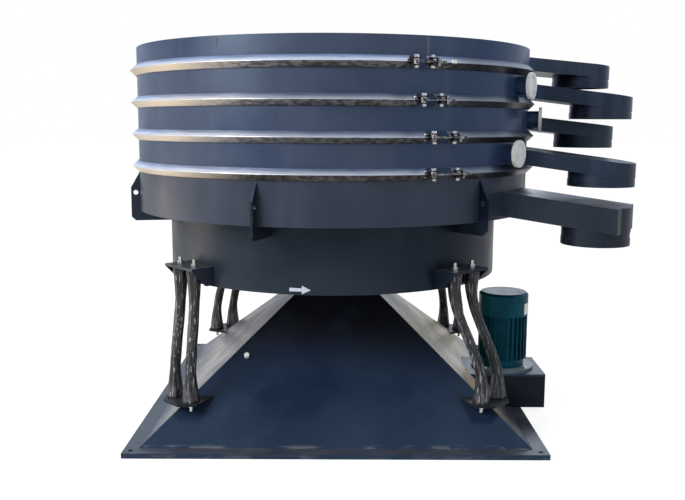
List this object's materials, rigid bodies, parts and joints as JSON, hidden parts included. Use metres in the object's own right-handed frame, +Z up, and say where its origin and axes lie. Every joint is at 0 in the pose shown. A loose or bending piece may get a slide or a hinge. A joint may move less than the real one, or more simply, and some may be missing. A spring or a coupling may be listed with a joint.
{
  "type": "tumbler screener",
  "caption": "Round stacked swing screen on a pyramid base with rubber legs, belt-driven eccentric and side outlets.",
  "frame": {"origin": "centre of the base plate's underside on the floor, on the drive shaft's axis", "axes": "+Z up along the drive shaft's axis; +X towards the motor and the upper outlets; -Y towards the picture's viewer"},
  "size_m": [2.5563, 2.0657, 1.898],
  "materials": {
    "painted_body": "satin",
    "motor_paint": "satin",
    "clamp_steel": "polished",
    "zinc_steel": "bright zinc plate",
    "machined_steel": "machined",
    "grey_iron": "as cast",
    "sieve_mesh": "fine woven wire",
    "leg_rubber": "matt",
    "belt_rubber": "matt",
    "white_plastic": "semi-gloss",
    "fan_plastic": "matt"
  },
  "bodies": {
    "base": {"base_plate": "painted_body", "pyramid_housing": "painted_body", "pyramid_plug": "zinc_steel", "belt_box": "painted_body", "motor_plate": "painted_body", "bearing_housing": "painted_body", "main_bearing": "machined_steel", "drive_belt": "belt_rubber", "motor_flange": "motor_paint", "motor_frame": "motor_paint", "fan_cover": "motor_paint", "terminal_box": "motor_paint", "motor_bolts": "zinc_steel", "leg_columns": "leg_rubber", "leg_foot_plates": "painted_body", "foot_nuts": "zinc_steel"},
    "eccentric_shaft": {"eccentric_shaft": "machined_steel", "driven_pulley": "grey_iron", "counterweight": "grey_iron"},
    "rotor": {"motor_shaft": "machined_steel", "motor_rotor": "machined_steel", "motor_pulley": "grey_iron", "motor_fan": "fan_plastic"},
    "swing_body": {"drum": "painted_body", "journal_hub": "painted_body", "journal_bearing": "machined_steel", "leg_brackets": "painted_body", "bracket_nuts": "zinc_steel", "lifting_plates": "painted_body", "bottom_pan": "painted_body", "deck_frame_1": "painted_body", "deck_frame_2": "painted_body", "deck_frame_3": "painted_body", "hood": "painted_body", "sieve_1": "sieve_mesh", "sieve_2": "sieve_mesh", "sieve_3": "sieve_mesh", "sieve_4": "sieve_mesh", "sieve_support_1": "machined_steel", "sieve_support_2": "machined_steel", "sieve_support_3": "machined_steel", "sieve_support_4": "machined_steel", "clamp_ring_1": "clamp_steel", "clamp_ring_2": "clamp_steel", "clamp_ring_3": "clamp_steel", "clamp_ring_4": "clamp_steel", "clamp_pins": "zinc_steel", "port_caps": "white_plastic"},
    "leg_1": {"leg_1": "leg_rubber"},
    "leg_2": {"leg_2": "leg_rubber"},
    "leg_3": {"leg_3": "leg_rubber"},
    "leg_4": {"leg_4": "leg_rubber"},
    "leg_5": {"leg_5": "leg_rubber"},
    "leg_6": {"leg_6": "leg_rubber"},
    "leg_7": {"leg_7": "leg_rubber"},
    "leg_8": {"leg_8": "leg_rubber"},
    "clamp_bolt_1": {"clamp_bolt_1": "zinc_steel"},
    "clamp_bolt_2": {"clamp_bolt_2": "zinc_steel"},
    "clamp_bolt_3": {"clamp_bolt_3": "zinc_steel"},
    "clamp_bolt_4": {"clamp_bolt_4": "zinc_steel"}
  },
  "joints": [
    {"name": "shaft_spin", "type": "hinge", "parent": "base", "child": "eccentric_shaft", "pos_m": [0, 0, 0.5], "axis": [0, 0, 1], "continuous": true},
    {"name": "body_orbit", "type": "hinge", "parent": "eccentric_shaft", "child": "swing_body", "pos_m": [-0.025, 0, 0.9], "axis": [0, 0, 1], "continuous": true},
    {"name": "motor_spin", "type": "hinge", "parent": "base", "child": "rotor", "pos_m": [0.875, -0.14, 0.3], "axis": [0, 0, 1], "continuous": true},
    {"name": "leg_1_sway", "type": "hinge", "parent": "base", "child": "leg_1", "pos_m": [-0.71546, -0.56333, 0.6], "axis": [0, 0, 1], "continuous": true},
    {"name": "leg_2_sway", "type": "hinge", "parent": "base", "child": "leg_2", "pos_m": [-0.63503, -0.65266, 0.6], "axis": [0, 0, 1], "continuous": true},
    {"name": "leg_3_sway", "type": "hinge", "parent": "base", "child": "leg_3", "pos_m": [0.56333, -0.71546, 0.6], "axis": [0, 0, 1], "continuous": true},
    {"name": "leg_4_sway", "type": "hinge", "parent": "base", "child": "leg_4", "pos_m": [0.65266, -0.63503, 0.6], "axis": [0, 0, 1], "continuous": true},
    {"name": "leg_5_sway", "type": "hinge", "parent": "base", "child": "leg_5", "pos_m": [0.71546, 0.56333, 0.6], "axis": [0, 0, 1], "continuous": true},
    {"name": "leg_6_sway", "type": "hinge", "parent": "base", "child": "leg_6", "pos_m": [0.63503, 0.65266, 0.6], "axis": [0, 0, 1], "continuous": true},
    {"name": "leg_7_sway", "type": "hinge", "parent": "base", "child": "leg_7", "pos_m": [-0.56333, 0.71546, 0.6], "axis": [0, 0, 1], "continuous": true},
    {"name": "leg_8_sway", "type": "hinge", "parent": "base", "child": "leg_8", "pos_m": [-0.65266, 0.63503, 0.6], "axis": [0, 0, 1], "continuous": true},
    {"name": "clamp_bolt_1_swing", "type": "hinge", "parent": "swing_body", "child": "clamp_bolt_1", "pos_m": [0.32588, -0.98539, 1.724], "axis": [0, 0, -1], "range_deg": [0, 85]},
    {"name": "clamp_bolt_2_swing", "type": "hinge", "parent": "swing_body", "child": "clamp_bolt_2", "pos_m": [0.36006, -0.97255, 1.569], "axis": [0, 0, -1], "range_deg": [0, 85]},
    {"name": "clamp_bolt_3_swing", "type": "hinge", "parent": "swing_body", "child": "clamp_bolt_3", "pos_m": [0.40711, -0.95258, 1.414], "axis": [0, 0, -1], "range_deg": [0, 85]},
    {"name": "clamp_bolt_4_swing", "type": "hinge", "parent": "swing_body", "child": "clamp_bolt_4", "pos_m": [0.40877, -0.95182, 1.259], "axis": [0, 0, -1], "range_deg": [0, 85]}
  ],
  "couplings": [
    {"joint": "body_orbit", "follows": "shaft_spin", "ratio": -1},
    {"joint": "motor_spin", "follows": "shaft_spin", "ratio": 4},
    {"joint": "leg_1_sway", "follows": "shaft_spin", "ratio": 1},
    {"joint": "leg_2_sway", "follows": "shaft_spin", "ratio": 1},
    {"joint": "leg_3_sway", "follows": "shaft_spin", "ratio": 1},
    {"joint": "leg_4_sway", "follows": "shaft_spin", "ratio": 1},
    {"joint": "leg_5_sway", "follows": "shaft_spin", "ratio": 1},
    {"joint": "leg_6_sway", "follows": "shaft_spin", "ratio": 1},
    {"joint": "leg_7_sway", "follows": "shaft_spin", "ratio": 1},
    {"joint": "leg_8_sway", "follows": "shaft_spin", "ratio": 1}
  ]
}
